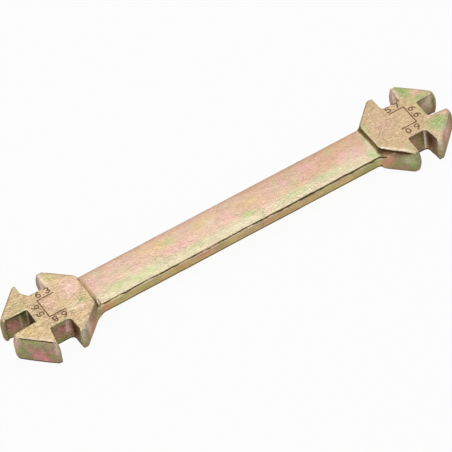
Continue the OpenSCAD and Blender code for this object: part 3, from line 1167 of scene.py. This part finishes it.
def forging_masks(points, normals):
    """What is painted on the forging for its material to read, by name."""
    x, y, z = points.T
    normal_x, normal_y, normal_z = normals.T
    bend = bend_at(points, forging_field, BEND_PROBE)
    steep = 1 - np.abs(normal_z)
    share, lap, glow = lobe_laps(x, y, z)

    inward = np.abs(x) - HEAD_X + np.where(x < 0, LEFT_STEP, RIGHT_STEP)
    on_head = ease(inward, *ON_HEAD_FADE)
    # Steep sides, which take the darker flank colours as painted shade
    side = ease(steep, *SIDE_FADE)
    above_bar = ease(z - MID_Z, *ABOVE_BAR_FADE)
    # Painted shade on the steps' walls
    on_step = ease(inward, *STEP_RISE) * ease(inward, *STEP_FALL)
    step = on_step * ease(np.abs(normal_x), *STEP_FACE_FADE) * above_bar
    lip = ease(lip_field(x, y, z), *LIP_FADE)
    # Painted shade at the foot of the left head's step, left off the lip
    foot = ease(inward, *FOOT_RISE) * ease(inward, *FOOT_FALL) * (x < 0)
    foot = foot * above_bar * ease(y, *FOOT_Y_FADE) * (1 - lip)
    cut = side * (1 - share) * on_head * (1 - step)

    # Painted highlights on the top edges that face the near side and on the band's top edge
    near = ease(-normal_y - NEAR_SKEW_SHARE * normal_x, *NEAR_FADE)
    top_edge = ease(z - HEAD_T, *TOP_EDGE_FADE) * ease(bend, *EDGE_BEND_FADE)
    band_line = ease(np.abs(z - MID_Z - BAND_TOP + BAND_LINE_DROP), *BAND_LINE_FADE)
    band_edge = BAND_EDGE_SHARE * band_line * near * ease(steep, *BAND_SLOPE_FADE) * (1 - on_head)
    # Painted shade along the lower edges, on the far-facing top edges away from a head's rear, and on the
    # handle's far side
    lowest = np.where(on_head > 0.5, 0, MID_Z + BAND_BOTTOM)
    low_rim_shade = LOW_RIM_SHADE_SHARE * ease(z - lowest, *LOW_RIM_FADE) * side
    rear_unshaded = REAR_UNSHADED_SHARE * ease(inward, *REAR_FADE) * ease(y, *REAR_Y_FADE)
    far_side = ease(normal_y, *FAR_SIDE_FADE) * (1 - on_head)
    far_edge_shade = np.maximum(top_edge * (1 - near) * (1 - rear_unshaded), far_side)
    return {
        "side": side,
        "head": np.where(steep > SIDE_FADE[0], ease(inward, *SOFT_HEAD_FADE), on_head),
        "cut": cut,
        "step": step,
        "foot": foot,
        # Painted shade, deeper at the near end of the foot
        "nook_shade": foot * ease(y, *NOOK_FADE),
        # Painted shade: low rims and far edges
        "rim_shade": np.maximum(low_rim_shade, FAR_EDGE_SHADE_SHARE * far_edge_shade),
        # Painted highlights: near top edges, band edge, lip and over the die laps
        "edge": np.maximum.reduce([top_edge * near, band_edge, LIP_SHARE * lip, glow]),
        # Painted shade in hollows
        "hollow_shade": HOLLOW_SHARE * ease(-bend, *HOLLOW_BEND_FADE) * (1 - cut) * (1 - on_step),
        "lap": np.minimum(lap, FAR_FROM_LAP),
    }


def forge(material):
    """The forging's one closed surface, with the numbers that its material reads."""
    lines = forging_lines()
    x, y, z = np.meshgrid(*lines, indexing="ij", sparse=True)
    points, quads = surface_net(lines, forging_field(x, y, z))
    points, normals = settle(points, forging_field, HEAD_STEP)
    piece = make_piece("forged_body", points, quads, material)
    piece.data.normals_split_custom_set_from_vertices(normals.tolist())
    for name, values in forging_masks(points, normals).items():
        paint(piece.data, name, values)
    for tint, places in TINTS_AND_LIGHT.items():
        paint(piece.data, tint, patches(points, places))
    return piece


def aim_camera():
    """Long-lens camera at the photograph's angle, rolled so that the wrench runs up to the right."""
    turn, drop, roll = (math.radians(angle) for angle in (CAMERA_TURN, CAMERA_DROP, CAMERA_ROLL))
    ahead = Vector((math.sin(turn) * math.cos(drop), math.cos(turn) * math.cos(drop), -math.sin(drop)))
    level = Vector((math.cos(turn), -math.sin(turn), 0))
    above = level.cross(ahead)
    right = level * math.cos(roll) - above * math.sin(roll)
    up = right.cross(ahead)
    data = bpy.data.cameras.new("camera")
    data.lens = CAMERA_LENS
    data.sensor_width = SENSOR_W
    data.clip_start = CLIP_NEAR * MM
    data.clip_end = CLIP_FAR * MM
    camera = add_object("camera", data)
    place = (Vector(CAMERA_TARGET) - ahead * CAMERA_DISTANCE) * MM
    rotation = Matrix((right, up, -ahead)).transposed().to_4x4()
    camera.matrix_world = Matrix.Translation(place) @ rotation
    bpy.context.scene.camera = camera


def lay_floor():
    """Wide pale floor that looks white to the camera and keeps the wrench's soft shadow."""
    mesh = bpy.data.meshes.new("floor")
    corners = [(x * FLOOR_HALF, y * FLOOR_HALF, 0) for x, y in ((-1, -1), (1, -1), (1, 1), (-1, 1))]
    mesh.from_pydata(corners, [], [(0, 1, 2, 3)])
    floor = add_object("floor", mesh)
    material = bpy.data.materials.new("pale_floor")
    g = Graph(material)
    g.shader.inputs["Base Color"].default_value = (FLOOR_GREY, FLOOR_GREY, FLOOR_GREY, 1)
    g.shader.inputs["Roughness"].default_value = 0.9
    g.shader.inputs["Specular IOR Level"].default_value = 0
    glow = g.nodes.new("ShaderNodeEmission")
    glow.inputs["Color"].default_value = (1, 1, 1, 1)
    g.blend(g.sight(FLOOR_GLOW_SHARE), g.shader.outputs[0], glow.outputs[0])
    mesh.materials.append(material)


def light_studio():
    """White surround for the camera and for reflections, a grey one for the light, and two soft lamps."""
    world = bpy.data.worlds.new("studio")
    bpy.context.scene.world = world
    g = Graph(world)
    g.shader.inputs["Color"].default_value = (SKY_GREY, SKY_GREY, SKY_GREY, 1)
    white = g.nodes.new("ShaderNodeBackground")
    white.inputs["Color"].default_value = (1, 1, 1, 1)
    g.blend(g.sight(1), g.shader.outputs[0], white.outputs[0])
    for spec in LAMPS:
        data = bpy.data.lights.new(spec.name, "AREA")
        data.size = spec.size
        data.energy = spec.power
        lamp = add_object(spec.name, data)
        lamp.location = spec.place
        lamp.rotation_euler = (-Vector(spec.place)).to_track_quat("-Z", "Y").to_euler()


LEFT = Head(-1, *rounded_outline(head_corners(
    near=slot(low=-3.5, low_mouth=-3.6, high=3.4, high_mouth=4.5, floor=7.5, low_r=1.3, high_r=0.5),
    end=slot(low=-2.8, low_mouth=-3.2, high=3.0, high_mouth=3.25, floor=5.75, low_r=0.3, high_r=0.6),
    far=slot(low=-3.2, low_mouth=-3.3, high=2.8, high_mouth=4.25, floor=7.5, low_r=0.4, high_r=0.5,
             knee=(4.35, 10)),
    end_tip=LEFT_END_TIP, step=LEFT_STEP, rear_r=LEFT_REAR_R,
)), foot=0.85, step=LEFT_STEP, end_tip=LEFT_END_TIP, groove=Groove(
    front=1, start=4.4, end=13.2, drop=0.6, radius=0.13, swell=0.0, inset=0.45,
))
RIGHT = Head(1, *rounded_outline(head_corners(
    near=slot(low=-3.25, low_mouth=-3.4, high=3.2, high_mouth=3.7, floor=7.5, low_r=0.4, high_r=1.2),
    end=slot(low=-3.4, low_mouth=-4.0, high=3.95, high_mouth=4.05, floor=7.0, low_r=0.9, high_r=0.3),
    far=slot(low=-3.3, low_mouth=-3.4, high=2.9, high_mouth=3.5, floor=7.5, low_r=1.2, high_r=0.4),
    end_tip=RIGHT_END_TIP, step=RIGHT_STEP, rear_r=RIGHT_REAR_R,
)), foot=0.3, step=RIGHT_STEP, end_tip=RIGHT_END_TIP, groove=Groove(
    front=-1, start=4.0, end=12.4, drop=0.95, radius=0.34, swell=1.1, inset=0.25,
))

aim_camera()
body = forge(plated_steel())
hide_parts("handle", "head_left", "head_right")
mark_material = burnt_mark()
engrave("left_marks", Bracket(cross_x=-65.3, leg_x=-59.8, near_y=-3.65, far_y=4.1), [
    Size("56", centre=(-67.05, 0.45), up=(-1, 0)),
    Size("63", centre=(-62.48, 5.95), up=(0, 1)),
    Size("68", centre=(-62.65, -5.4), up=(0, -1)),
], mark_material)
engrave("right_marks", Bracket(cross_x=66.45, leg_x=61.15, near_y=-3.14, far_y=4.46), [
    Size("66", centre=(68.15, 0.75), up=(1, 0)),
    Size("57", centre=(63.46, 6.18), up=(0, 1)),
    Size("60", centre=(63.85, -5.0), up=(0, -1)),
], mark_material)
lay_floor()
light_studio()
bpy.context.scene.view_settings.view_transform = "Standard"
